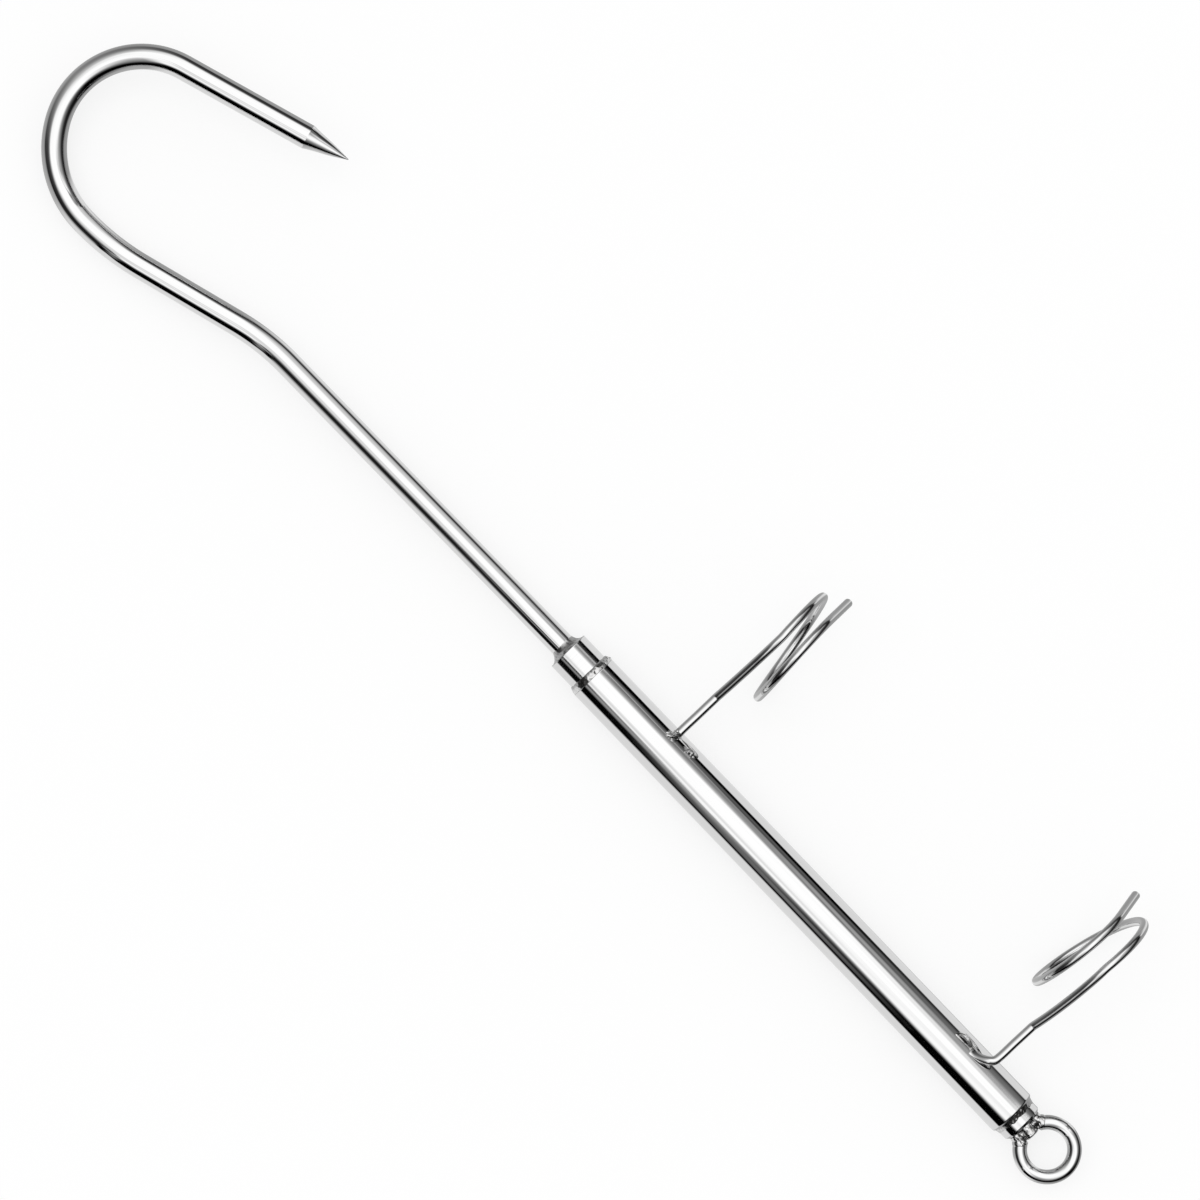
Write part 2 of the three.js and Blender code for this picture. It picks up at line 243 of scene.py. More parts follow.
# Welds behind the rope eye. A part is (distance behind the plug's face, distance aside, sizes)
FILL_SEED = 60
FILL_ANGLE = math.radians(33.0)
FILL_OUT = 0.25
FILL_CAP = (6.1, 6.0, 6.1)
FILL_PARTS = [
    (1.2, 5.0, (5.2, 5.2, 6.2)),
    (2.4, 5.1, (5.2, 5.3, 6.1)),
    (2.0, 3.4, (4.8, 4.6, 5.6)),
]

# Painted shade round the rope eye's stub, in the hollows on either side of it and at its root on the plug's
# face: darkness, places and sizes of its patches
HOLLOW_SHADE_SEED = 91
PATCH_DARK = 1.2
PATCH_X = PLUG_FACE + 3.3
PATCH_Y = 4.4
FAR_PATCH_DARK = 0.45
FAR_PATCH_Y = -4.6
FAR_PATCH_SIZE = 1.2
HOLLOW_DARK = 0.4
HOLLOW_MOTTLE = 1.2
HOLLOW_Y = 3.9
HOLLOW_SIZE = 1.3
ROOT_DARK = 0.9
ROOT_SIZE = 0.5

# Low welds on the tube. A row holds heights above the tube at the columns' places along Y
FOOT_COLUMNS = [4.8, 5.3, 5.7, 6.0, 6.3, 6.6, 6.9, 7.5, 7.9, 8.2, 8.5, 8.8]
GRID_STEP = 0.12
GRID_COLUMNS = 48
GRID_SMOOTHINGS = 6
ARCH_SLOPE = 3.0
RIPPLE_HEIGHT = 0.006
RIPPLE_SIZE = 1.2
RIPPLE_SEED = 5
# Width and darkness of the dark patch in a low weld's undercut, partly scale and partly painted shade
UNDERCUT_WIDTH = 0.5
UNDERCUT_DARK = 1.1
BEAD_SHADE = 0.12
SUNK = -0.15
RIDGE_ROW = [SUNK, SUNK, SUNK, SUNK, SUNK, SUNK, SUNK, -0.08, 0.13, 0.22, 0.12, SUNK]
FRONT_ROW = [SUNK, 0.0, 0.08, 0.08, 0.07, 0.08, 0.12, 0.22, 0.31, 0.37, 0.28, SUNK]
REAR_RISE = [SUNK, 0.02, 0.18, 0.15, 0.115, 0.09, 0.13, 0.26, 0.39, 0.52, 0.45, SUNK]
REAR_ROW = [SUNK, -0.06, 0.06, 0.07, 0.05, 0.04, 0.09, 0.22, 0.36, 0.49, 0.42, SUNK]
HEEL_ROW = [-0.06, 0.04, 0.09, 0.12, 0.14, 0.13, 0.09, -0.08, SUNK, SUNK, SUNK, SUNK]
PAD_ROW = [SUNK, -0.10, -0.04, 0.02, 0.05, 0.08, 0.12, 0.20, 0.26, 0.32, 0.40, 0.3]
SEAT_RADIUS = 9.7
# Parts of the front heel's weld: distance from the stem, distance out, degrees round the tube
# and sizes. The drop's are its middle and its sizes
FRONT_HEEL_PARTS = [(-0.8, 9.85, 50.0, (6.0, 1.9, 1.9)), (-2.1, 9.75, 49.0, (4.6, 1.8, 1.5))]
FRONT_HEEL_ASLANT = math.radians(40.0)
FRONT_HEEL_DROP = ((FRONT["station"] - 0.95, 9.0, 11.15), (1.5, 1.7, 1.5))

# Camera, over the middle of the photograph's view
CAMERA_PLACE = (-19.75, 22.68, 2267.0)
CAMERA_RIGHT = (0.6929, 0.72113, 0.0)
CAMERA_UP = (-0.72113, 0.6929, 0.0)
CAMERA_LENS = 175.15

roll = math.asin((FRONT["radius"] + WIRE_RADIUS - TUBE_RADIUS) / FRONT["reach"])
tube_low, tube_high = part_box("body_tube")
tube_middle = (tube_low + tube_high) / 2
to_row = (
    Matrix.Translation((tube_low.x, tube_middle.y, tube_middle.z))
    @ Matrix.Rotation(roll, 4, "X")
    @ Matrix.Scale(0.001, 4)
)


# Meshes
def grid_faces(rows, columns, wrap_rows=False):
    """Quads between rows of points that close round on themselves."""
    faces = []
    for i in range(rows if wrap_rows else rows - 1):
        j = (i + 1) % rows
        for k in range(columns):
            m = (k + 1) % columns
            faces.append((i * columns + k, i * columns + m, j * columns + m, j * columns + k))
    return faces


def piece(name, node, points, faces, material, flow=None, crease=32.0, valley=None):
    """A mesh in the gaff's frame that stands for a CAD node. flow is the place of each point
    on the straightened bar, which the materials' grain follows."""
    matrix = np.array(to_row)
    points = np.asarray(points, float)
    placed = points @ matrix[:3, :3].T + matrix[:3, 3]
    mesh = bpy.data.meshes.new(name)
    mesh.from_pydata(placed.tolist(), [], faces)
    work = bmesh.new()
    work.from_mesh(mesh)
    bmesh.ops.recalc_face_normals(work, faces=work.faces)
    work.to_mesh(mesh)
    work.free()
    flow = np.asarray(points if flow is None else flow, np.float32)
    mesh.attributes.new("flow", "FLOAT_VECTOR", "POINT")
    mesh.attributes["flow"].data.foreach_set("vector", flow.ravel())
    mesh.attributes.new("valley", "FLOAT", "POINT")
    if valley is not None:
        mesh.attributes["valley"].data.foreach_set("value", np.asarray(valley, np.float32))
    mesh.polygons.foreach_set("use_smooth", [True] * len(mesh.polygons))
    mesh.set_sharp_from_angle(angle=math.radians(crease))
    mesh.materials.append(material)
    made = bpy.data.objects.new(name, mesh)
    bpy.context.scene.collection.objects.link(made)
    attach(made, "root")
    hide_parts(node)


def weld_piece(name, node, points, faces, valley):
    """A weld's mesh. valley is the share of dark at each point: scale, and on some welds painted shade and
    a painted dark reflection.
    """
    shade = np.clip(valley, 0, 1)
    piece(name, node, points, faces, weld_metal, crease=WELD_CREASE, valley=shade)


def turned(profile, sides, closed):
    """Points and faces of a profile of (x, radius) turned about X. A closed profile makes a
    ring, and an open one gets a middle point at each end."""
    angles = np.arange(sides) / sides * math.tau
    rows = [np.stack([np.full(sides, x), r * np.cos(angles), r * np.sin(angles)], 1) for x, r in profile]
    points = np.concatenate(rows)
    faces = grid_faces(len(profile), sides, closed)
    if closed:
        return points, faces
    first, last = (profile[0][0], 0, 0), (profile[-1][0], 0, 0)
    return with_ends(points, faces, len(profile), sides, first, last)


def with_ends(points, faces, rows, sides, first, last):
    """Closes both ends of a round skin with fans about a first and a last middle point."""
    count = len(points)
    points = np.concatenate([points, [first, last]])
    top = (rows - 1) * sides
    for k in range(sides):
        m = (k + 1) % sides
        faces.append((count, m, k))
        faces.append((count + 1, top + k, top + m))
    return points, faces


def bent_line(legs):
    """Points of a line of straight runs and arcs in the plane of the hook."""
    here = np.array([HOOK_START, 0.0])
    facing = math.pi
    points = [here]
    for leg in legs:
        if leg[0] == "run":
            ahead = np.array([math.cos(facing), math.sin(facing)])
            count = math.ceil(leg[1] / LINE_STEP)
            points += [here + ahead * leg[1] * (i + 1) / count for i in range(count)]
        else:
            radius, turn = leg[1], math.radians(leg[2])
            side = math.copysign(1, turn)
            centre = here + side * radius * np.array([-math.sin(facing), math.cos(facing)])
            count = math.ceil(radius * abs(turn) / LINE_STEP)
            for i in range(count):
                now = facing + turn * (i + 1) / count
                points.append(centre + side * radius * np.array([math.sin(now), -math.cos(now)]))
            facing += turn
        here = points[-1]
    return np.array([(x, y, 0.0) for x, y in points])


def swept(line, sections, sides):
    """Round bar along a line that starts across Z, with sections of (distance along it, radius)."""
    run = np.concatenate([[0], np.cumsum(np.linalg.norm(np.diff(line, axis=0), axis=1))])
    slope = np.gradient(line, run, axis=0)
    along = np.array([s for s, _ in sections])
    middles = np.stack([np.interp(along, run, line[:, i]) for i in range(3)], 1)
    aheads = np.stack([np.interp(along, run, slope[:, i]) for i in range(3)], 1)
    aheads /= np.linalg.norm(aheads, axis=1)[:, None]
    side = np.cross(aheads[0], (0.0, 0.0, 1.0))
    angles = np.arange(sides) / sides * math.tau
    rows, flow = [], []
    for (s, radius), middle, ahead in zip(sections, middles, aheads):
        side = side - ahead * side.dot(ahead)
        side /= np.linalg.norm(side)
        other = np.cross(ahead, side)
        y, z = radius * np.cos(angles), radius * np.sin(angles)
        rows.append(middle + y[:, None] * side + z[:, None] * other)
        flow.append(np.stack([np.full(sides, s), y, z], 1))
    points, faces = np.concatenate(rows), grid_faces(len(sections), sides)
    points, faces = with_ends(points, faces, len(sections), sides, middles[0], middles[-1])
    flow = np.concatenate(flow + [[(along[0], 0, 0), (along[-1], 0, 0)]])
    return points, faces, flow


def plain_sections(length, radius, step, edge):
    """Sections of a bar whose ends have a softened edge."""
    count = math.ceil((length - 2 * edge) / step)
    inner = [(edge + (length - 2 * edge) * i / count, radius) for i in range(count + 1)]
    rounded = [(edge * (1 - math.cos(t)), radius - edge + edge * math.sin(t)) for t in END_TURNS]
    return rounded + inner + [(length - s, r) for s, r in reversed(rounded)]


def smooth_line(points, steps):
    """Centripetal Catmull-Rom line through points."""
    points = np.array(points)
    padded = np.concatenate([[2 * points[0] - points[1]], points, [2 * points[-1] - points[-2]]])
    line = []
    for p0, p1, p2, p3 in zip(padded, padded[1:], padded[2:], padded[3:]):
        t0 = 0.0
        t1 = t0 + np.linalg.norm(p1 - p0) ** 0.5
        t2 = t1 + np.linalg.norm(p2 - p1) ** 0.5
        t3 = t2 + np.linalg.norm(p3 - p2) ** 0.5
        for i in range(steps):
            t = t1 + (t2 - t1) * i / steps
            a1 = p0 + (p1 - p0) * (t - t0) / (t1 - t0)
            a2 = p1 + (p2 - p1) * (t - t1) / (t2 - t1)
            a3 = p2 + (p3 - p2) * (t - t2) / (t3 - t2)
            b1 = a1 + (a2 - a1) * (t - t0) / (t2 - t0)
            b2 = a2 + (a3 - a2) * (t - t1) / (t3 - t1)
            line.append(b1 + (b2 - b1) * (t - t1) / (t2 - t1))
    line.append(points[-1])
    return np.array(line)


def guide_line(g):
    """Centre line of a pigtail guide, from the foot's toe to the free end."""
    foot_y, foot_z = FOOT_RADIUS * math.cos(FOOT_ANGLE), FOOT_RADIUS * math.sin(FOOT_ANGLE)
    hand, station, radius = g["hand"], g["station"], g["radius"]
    heel_run, heel_rise = g["heel_run"], g["heel_rise"]
    foot_stations = (g["foot"], (g["foot"] + heel_run) / 2)
    points = [(station + hand * away, foot_y, foot_z) for away in foot_stations]
    for i in range(HEEL_STEPS + 1):
        t = i / HEEL_STEPS * math.pi / 2
        x = station + hand * heel_run * (1 - math.sin(t))
        points.append((x, foot_y + heel_rise * (1 - math.cos(t)), foot_z))
    top = foot_y + KINK_HEIGHT
    stem_run = KINK_HEIGHT - heel_rise

    def coil(t):
        shift = g["pitch"] * t / math.tau - g["lean"] * math.sin(t) - g["slew"] * math.cos(t)
        x = station + g["shift"] + hand * shift
        return np.array([x, g["reach"] + radius * math.sin(t), radius * math.cos(t)])

    away = math.hypot(g["reach"] - top, foot_z)
    lean_out = math.asin(radius / away) - math.atan2(foot_z, g["reach"] - top)
    lean_run = math.sqrt(away * away - radius * radius)
    lead_run = lean_run + radius * lean_out
    stem_drift = (coil(0)[0] - station) * STEM_DRIFT
    lead_drift = coil(0)[0] - station - stem_drift

    def drift(run):
        return station + stem_drift + lead_drift * (1 - (1 - run / lead_run) ** DRIFT_POWER)

    for up in (stem_run / 2, stem_run - KINK_RUN, stem_run):
        points.append((station + stem_drift * up / stem_run, top - stem_run + up, foot_z))
    for run in (KINK_RUN, lean_run / 4, lean_run / 2, lean_run * 3 / 4):
        points.append((drift(run), top + run * math.cos(lean_out), foot_z + run * math.sin(lean_out)))
    for i in range(LEAD_STEPS):
        t = lean_out * (i / LEAD_STEPS - 1)
        points.append((drift(lead_run + radius * t), *coil(t)[1:]))
    points += [coil(COIL_SWEEP * i / COIL_STEPS) for i in range(COIL_STEPS + 1)]
    ahead = coil(COIL_SWEEP) - coil(COIL_SWEEP - TINY_TURN)
    ahead /= np.linalg.norm(ahead)
    points += [coil(COIL_SWEEP) + ahead * END_RUN * i / END_STEPS for i in range(1, END_STEPS + 1)]
    return smooth_line(points, SMOOTH_STEPS)


def press_foot(points, flow, g):
    """Hammers the foot of a guide thin, so that it lies in the tube's surface, and eases off
    through the heel. The press goes towards the tube's axis, or plumb down from above."""
    pressed = []
    for point, (run, _, _) in zip(points, flow):
        share = min(max((g["flat"] + g["ease"] - run) / g["ease"], 0.0), 1.0)
        share = share * share * (3 - 2 * share)
        x, y, z = point
        if g["plumb"]:
            seat = math.sqrt(max(FOOT_TOP ** 2 - y ** 2, 0.0))
            pressed.append((x, y, z - share * max(z - seat, 0.0)))
        else:
            out, angle = math.hypot(y, z), math.atan2(z, y)
            out -= share * max(out - FOOT_TOP, 0.0)
            angle += share * ((angle - FOOT_ANGLE) * FOOT_SPREAD - FOOT_TURN)
            pressed.append((x, out * math.cos(angle), out * math.sin(angle)))
    return np.array(pressed)


def rough(point, size, seed):
    """Noise from -1 to 1 with features of a size in millimetres."""
    return noise.noise(Vector(point) / size + Vector([seed * step for step in SEED_STEPS]))


def ripple(run, across, pitch, seed):
    """Height from 0 to 1 of the crescents that a weld pool leaves as it moves on."""
    wander = CREST_WANDER * rough((run, across * 2, 0), CREST_WANDER_SIZE, seed)
    phase = run / pitch + CREST_BOW * across * across + wander
    return abs(math.sin(math.pi * phase)) ** CREST_POWER


def ring_bead(outline, inner, lumps, pitch, seed, sides=BEAD_SIDES, nib=None):
    """Bead of weld round the tube's axis. outline holds (x, radius) from one foot to the other,
    and inner is the radius that it closes on, inside the metal below it. lumps is the height of
    its unevenness, and nib is a drop of spatter: its x, angle and height."""
    steps = len(outline)
    points, valley = [], []
    for i, (x, radius) in enumerate(outline):
        across = 2 * i / (steps - 1) - 1
        swell = 1 - across ** 4
        for k in range(sides):
            t = k / sides * math.tau
            spot = (x, radius * math.cos(t), radius * math.sin(t))
            crest = ripple(t * radius, across, pitch, seed)
            bumps = rough(spot, BUMP_SIZE, seed + 1)
            waves = rough(spot, WAVE_SIZE, seed + 2)
            r = radius + swell * (BEAD_CRESTS * (crest - CREST_MEAN) + lumps * (bumps / 2 + waves))
            if nib:
                nib_x, nib_angle, nib_height = nib
                away = ((x - nib_x) ** 2 + (radius * (t - nib_angle)) ** 2) / NIB_SPREAD ** 2
                r += nib_height * math.exp(-away)
            shift = FOOT_WANDER * rough((0, *spot[1:]), FOOT_WANDER_SIZE, seed + 3)
            points.append((x + shift, r * math.cos(t), r * math.sin(t)))
            valley.append(swell * (1 - crest) * CREST_VALLEY + BUMP_VALLEY * max(-bumps, 0.0))
    for x in (outline[-1][0], outline[0][0]):
        for k in range(sides):
            t = k / sides * math.tau
            points.append((x, inner * math.cos(t), inner * math.sin(t)))
            valley.append(0)
    return np.array(points), grid_faces(steps + 2, sides, True), valley


def blob(parts, voxel):
    """One skin over ellipsoids. Each part is (middle, sizes, turn matrix)."""
    work = bmesh.new()
    for middle, sizes, turn in parts:
        place = Matrix.Translation(middle) @ turn.to_4x4() @ Matrix.Diagonal((*[s / 2 for s in sizes], 1))
        bmesh.ops.create_icosphere(work, subdivisions=4, radius=1.0, matrix=place)
    mesh = bpy.data.meshes.new("blob")
    work.to_mesh(mesh)
    work.free()
    made = bpy.data.objects.new("blob", mesh)
    bpy.context.scene.collection.objects.link(made)
    skin = made.modifiers.new("skin", "REMESH")
    skin.mode = "VOXEL"
    skin.voxel_size = voxel
    smooth = made.modifiers.new("smooth", "SMOOTH")
    smooth.factor = 0.5
    smooth.iterations = BLOB_SMOOTHINGS
    bpy.context.view_layer.update()
    done = bpy.data.meshes.new_from_object(made.evaluated_get(bpy.context.evaluated_depsgraph_get()))
    points = np.array([v.co for v in done.vertices])
    normals = np.array([v.normal for v in done.vertices])
    faces = [tuple(p.vertices) for p in done.polygons]
    bpy.data.objects.remove(made)
    bpy.data.meshes.remove(done)
    bpy.data.meshes.remove(mesh)
    return points, normals, faces


def weld(name, node, parts, axes, pitch, bumps, seed, voxel, scale=None):
    """Weld of a blob's shape with crescents and small bumps. axes are the directions along the
    weld and across it, and scale gives how much painted shade darkens its surface at a point."""
    points, normals, faces = blob(parts, voxel)
    middle = points.mean(0)
    moved, valley = [], []
    for p, n in zip(points, normals):
        run, across = (p - middle).dot(axes[0]), (p - middle).dot(axes[1])
        crest = ripple(run, across / BLOB_HALF_WIDTH, pitch, seed)
        grain = rough(p, COARSE_GRAIN, seed + 1) + rough(p, FINE_GRAIN, seed + 2) / 2
        moved.append(p + n * (BLOB_CRESTS * (crest - CREST_MEAN) + bumps * grain))
        # The scale function adds painted shade where a weld is given one
        valley.append((1 - crest) / 2 + (scale(p) if scale else 0.0))
    weld_piece(name, node, moved, faces, valley)


# Materials
# Range that holds nearly all of a noise
NOISE_LOW = 0.3
NOISE_HIGH = 0.7
MICRON = 0.000001
# Grain that runs along a bar or round it, how much wider its waves are, and worn patches
ALONG_BAR = (0.035, 1.0, 1.0)
ROUND_BAR = (2.2, 0.05, 0.05)
WAVE_SHARE = 0.18
WORN_SCALE = 0.11
WORN_FROM = 0.42
WORN_TO = 0.68
WORN_SHARE = 0.6
# Weld: its grey stain, the dark of scale and of painted shade, and specks
STAIN_SCALE = 0.35
STAIN_FROM = 0.42
STAIN_TO = 0.66
SPECK_SCALE = 1.5
SPECK_SHADE = 0.22
SCALE_FROM = 0.25
SCALE_TO = 0.85
SCALE_ROUGHNESS = 0.25
LEAD_SCALE = 160.0


class Nodes:
    """Short way to lay out a material's or a world's nodes."""

    def __init__(self, tree):
        self.tree = tree
        tree.nodes.clear()

    def add(self, kind, inputs=None, **settings):
        """A node with its inputs, where a socket is linked and a value is set."""
        node = self.tree.nodes.new(kind)
        for key, value in settings.items():
            setattr(node, key, value)
        for key, value in (inputs or {}).items():
            if isinstance(value, bpy.types.NodeSocket):
                self.tree.links.new(value, node.inputs[key])
            else:
                node.inputs[key].default_value = value
        return node

    def math(self, operation, *values):
        node = self.add("ShaderNodeMath", dict(enumerate(values)), operation=operation)
        return node.outputs[0]

    def spread(self, value, low, high, new_low, new_high, smooth=False):
        """Value between low and high, spread over a new range and held at its ends."""
        inputs = {"Value": value, "From Min": low, "From Max": high, "To Min": new_low, "To Max": new_high}
        node = self.add("ShaderNodeMapRange", inputs)
        if smooth:
            node.interpolation_type = "SMOOTHSTEP"
        return node.outputs["Result"]

    def noise(self, vector, scale, detail=2.0):
        inputs = {"Vector": vector, "Scale": scale, "Detail": detail}
        return self.add("ShaderNodeTexNoise", inputs).outputs["Fac"]

    def bump(self, strength, distance, height, **inputs):
        """Normal bent by a height."""
        inputs.update({"Strength": strength, "Distance": distance, "Height": height})
        return self.add("ShaderNodeBump", inputs).outputs[0]

    def metal(self, base, roughness, normal, metallic=1.0):
        """Metal surface that ends a material."""
        inputs = {"Base Color": base, "Metallic": metallic, "Roughness": roughness, "Normal": normal}
        shader = self.add("ShaderNodeBsdfPrincipled", inputs)
        self.add("ShaderNodeOutputMaterial", {"Surface": shader.outputs[0]})

    def ramp(self, value, stops):
        """Colour ramp of grey stops, (place, grey)."""
        node = self.add("ShaderNodeValToRGB", {"Fac": value})
        line = node.color_ramp
        while len(line.elements) < len(stops):
            line.elements.new(0.5)
        for element, (place, grey) in zip(line.elements, stops):
            element.position = place
            element.color = (grey, grey, grey, 1)
        return node.outputs["Color"]

    def mix(self, share, one, two):
        """Colour between one and two."""
        return self.add("ShaderNodeMix", {0: share, 6: one, 7: two}, data_type="RGBA").outputs[2]


def grey(level, warmth=0.0):
    """Colour of a grey level, a little warm or cold."""
    return (level * (1 + warmth), level, level * (1 - warmth), 1.0)


def new_material(name):
    """An empty material and the tool to lay out its nodes."""
    material = bpy.data.materials.new(name)
    material.use_nodes = True
    return material, Nodes(material.node_tree)


def steel(name, smooth, dull, grain, grain_depth, wave_depth, dark=0.79, light=0.82, across=False):
    """Stainless steel with a polishing grain along the bar, or round it where across is set.
    smooth and dull are roughness, and dark and light are levels of its colour."""
    material, n = new_material(name)
    flow = n.add("ShaderNodeAttribute", attribute_name="flow").outputs["Vector"]
    stretch = ROUND_BAR if across else ALONG_BAR
    lines = n.add("ShaderNodeVectorMath", {0: flow, 1: stretch}, operation="MULTIPLY").outputs[0]
    fine = n.noise(lines, scale=grain, detail=4.0)
    coarse = n.noise(lines, scale=grain * WAVE_SHARE)
    smudge = n.noise(flow, scale=WORN_SCALE, detail=4.0)
    worn = n.spread(smudge, WORN_FROM, WORN_TO, 0.0, 1.0, smooth=True)
    base = n.mix(n.spread(coarse, NOISE_LOW, NOISE_HIGH, 0.0, 1.0), grey(dark), grey(light))
    streaked = n.spread(fine, NOISE_LOW, NOISE_HIGH, smooth, dull)
    roughness = n.math("ADD", streaked, n.math("MULTIPLY", worn, (dull - smooth) * WORN_SHARE))
    waves = n.bump(strength=0.35, distance=wave_depth, height=coarse)
    scratches = n.bump(strength=0.25, distance=grain_depth, height=fine, Normal=waves)
    n.metal(base, roughness, scratches)
    return material


def weld_material(name):
    """Weld bead, brushed and polished: bright crests, and dark scale left in the hollows. The same
    darkening also carries painted shade and a painted dark reflection on some welds.
    """
    material, n = new_material(name)
    flow = n.add("ShaderNodeAttribute", attribute_name="flow").outputs["Vector"]
    valley = n.add("ShaderNodeAttribute", attribute_name="valley").outputs["Fac"]
    specks = n.noise(flow, scale=SPECK_SCALE, detail=4.0)
    patches = n.noise(flow, scale=STAIN_SCALE, detail=3.0)
    dark_patch = n.spread(patches, STAIN_FROM, STAIN_TO, 0.0, 1.0, smooth=True)
    speckled = n.spread(specks, NOISE_LOW, NOISE_HIGH, -SPECK_SHADE, SPECK_SHADE)
    shade = n.spread(n.math("ADD", valley, speckled), SCALE_FROM, SCALE_TO, 0.0, 1.0, smooth=True)
    clean = n.mix(dark_patch, grey(0.8), grey(0.7, warmth=0.01))
    base = n.mix(shade, clean, grey(0.07, warmth=0.02))
    brushed = n.spread(specks, NOISE_LOW, NOISE_HIGH, 0.05, 0.14)
    roughness = n.math("ADD", brushed, n.math("MULTIPLY", shade, SCALE_ROUGHNESS))
    n.metal(base, roughness, n.bump(strength=0.3, distance=40 * MICRON, height=specks))
    return material


def lead_material(name):
    """Cast lead, dull and mottled."""
    material, n = new_material(name)
    place = n.add("ShaderNodeTexCoord").outputs["Object"]
    mottle = n.noise(place, scale=LEAD_SCALE, detail=5.0)
    base = n.mix(mottle, (0.16, 0.165, 0.175, 1.0), (0.30, 0.305, 0.32, 1.0))
    roughness = n.spread(mottle, NOISE_LOW, NOISE_HIGH, 0.5, 0.75)
    skin = n.bump(strength=0.4, distance=200 * MICRON, height=mottle)
    n.metal(base, roughness, skin, metallic=0.7)
    return material


polished_bar = steel(
    "polished_bar", smooth=0.025, dull=0.05, grain=6.0, grain_depth=3 * MICRON, wave_depth=6 * MICRON,
)
polished_tube = steel(
    "polished_tube", smooth=0.02, dull=0.045, grain=5.0, grain_depth=2 * MICRON, wave_depth=6 * MICRON,
)
turned_steel = steel(
    "turned_steel", smooth=0.03, dull=0.06, grain=5.0, grain_depth=3 * MICRON, wave_depth=3 * MICRON,
    across=True,
)
drawn_wire = steel(
    "drawn_wire", smooth=0.03, dull=0.07, grain=9.0, grain_depth=3 * MICRON, wave_depth=4 * MICRON,
    dark=0.78,
)
weld_metal = weld_material("weld_metal")
cast_lead = lead_material("cast_lead")

# Hook
hook = bent_line(HOOK_LEGS)
hook_run = float(np.sum(np.linalg.norm(np.diff(hook, axis=0), axis=1)))
point_start = hook_run - POINT_PROFILE[0][0]
bar_count = math.ceil(point_start / BAR_STEP)
hook_sections = [(point_start * i / bar_count, BAR_RADIUS) for i in range(bar_count)]
hook_sections += [(hook_run - left, radius) for left, radius in POINT_PROFILE]
points, faces, flow = swept(hook, hook_sections, BAR_SIDES)
piece("hook_bar", "hook_rod", points, faces, polished_bar, flow, crease=10.0)


# Tube, collar and plug
def softened(x, radius, turn_in, size, steps=4):
    """Rounded corner at the end of an outside surface, and a ring close by that keeps the shading
    of the long surface straight. turn_in is -1 where x falls to the end."""
    corner = [(x - turn_in * (size + CORNER_HOLD), radius)]
    for i in range(steps + 1):
        t = i / steps * math.pi / 2
        corner.append((x - turn_in * size * (1 - math.sin(t)), radius - size * (1 - math.cos(t))))
    return corner


tube_profile = [(0.0, BORE_RADIUS), (0.0, TUBE_RADIUS - MOUTH_EDGE)]
tube_profile += list(reversed(softened(0.0, TUBE_RADIUS, -1, MOUTH_EDGE)))
tube_profile += [(TUBE_LENGTH * i / TUBE_BAYS, TUBE_RADIUS) for i in range(1, TUBE_BAYS)]
tube_profile += softened(TUBE_LENGTH, TUBE_RADIUS, 1, TAIL_EDGE, steps=6) + [(TUBE_LENGTH, BORE_RADIUS)]
points, faces = turned(tube_profile, TURNED_SIDES, closed=True)
piece("tube_body", "body_tube", points, faces, polished_tube)

collar_profile = [(-COLLAR_EXPOSED, COLLAR_BORE), (-COLLAR_EXPOSED, PLUG_RADIUS - COLLAR_FACE_INSET)]
collar_profile += list(reversed(softened(-COLLAR_EXPOSED, PLUG_RADIUS, -1, COLLAR_EDGE)))[1:]
collar_profile += [(x, PLUG_RADIUS) for x in (-COLLAR_MIDDLE, 0.0, SEAT)] + [(SEAT, COLLAR_BORE)]
points, faces = turned(collar_profile, TURNED_SIDES, closed=True)
piece("collar", "rod_collar", points, faces, turned_steel)

plug_corner = PLUG_FACE - PLUG_EDGE
plug_places = (TUBE_LENGTH - SEAT, TUBE_LENGTH, plug_corner - CORNER_HOLD, plug_corner)
plug_profile = [(x, PLUG_RADIUS) for x in plug_places] + [(PLUG_FACE, PLUG_RADIUS - PLUG_EDGE)]
points, faces = turned(plug_profile, TURNED_SIDES, closed=False)
piece("plug", "tail_plug", points, faces, turned_steel)

# Beads round the bar, the mouth and the tail
fillet = []
for i in range(FILLET_STEPS + 1):
    t = i / FILLET_STEPS * math.pi / 2
    rise = FILLET_RISE * (1 - math.cos(t)) ** FILLET_POWER
    fillet.append((FILLET_START + FILLET_RUN * math.sin(t), BAR_RADIUS - FILLET_FOOT + rise))
points, faces, valley = ring_bead(fillet, BAR_RADIUS - FILLET_SEAT, lumps=0.09, pitch=2.2, seed=11)
weld_piece("collar_fillet", "collar_rod_weld", points, faces, valley)

mouth = []
for i in range(MOUTH_STEPS + 1):
    t = i / MOUTH_STEPS * math.pi / 2
    rise = MOUTH_RISE * math.sin(t) ** MOUTH_POWER
    mouth.append((MOUTH_START + MOUTH_RUN * (1 - math.cos(t)), PLUG_RADIUS - MOUTH_FOOT + rise))
points, faces, valley = ring_bead(
    mouth, PLUG_RADIUS - MOUTH_SEAT, lumps=0.16, pitch=1.7, seed=MOUTH_SEED,
    sides=FINE_BEAD_SIDES, nib=MOUTH_NIB,
)
# Darker on part of the bead's -Y side, and in curls of noise
sideways = points[:, 1] / np.hypot(points[:, 1], points[:, 2])
side_darkening = np.interp(sideways, MOUTH_DARK_SHARES, [0.0, MOUTH_SIDE_DARK, MOUTH_SIDE_DARK, 0.0])
curls = [max(-rough(p, MOUTH_CURL_SIZE, MOUTH_SEED + 1) - MOUTH_CURL_FROM, 0.0) for p in points]
valley = np.array(valley) * MOUTH_VALLEY_SHARE + side_darkening + MOUTH_CURL_DARK * np.array(curls)
weld_piece("mouth_bead", "tube_collar_weld", points, faces, valley)

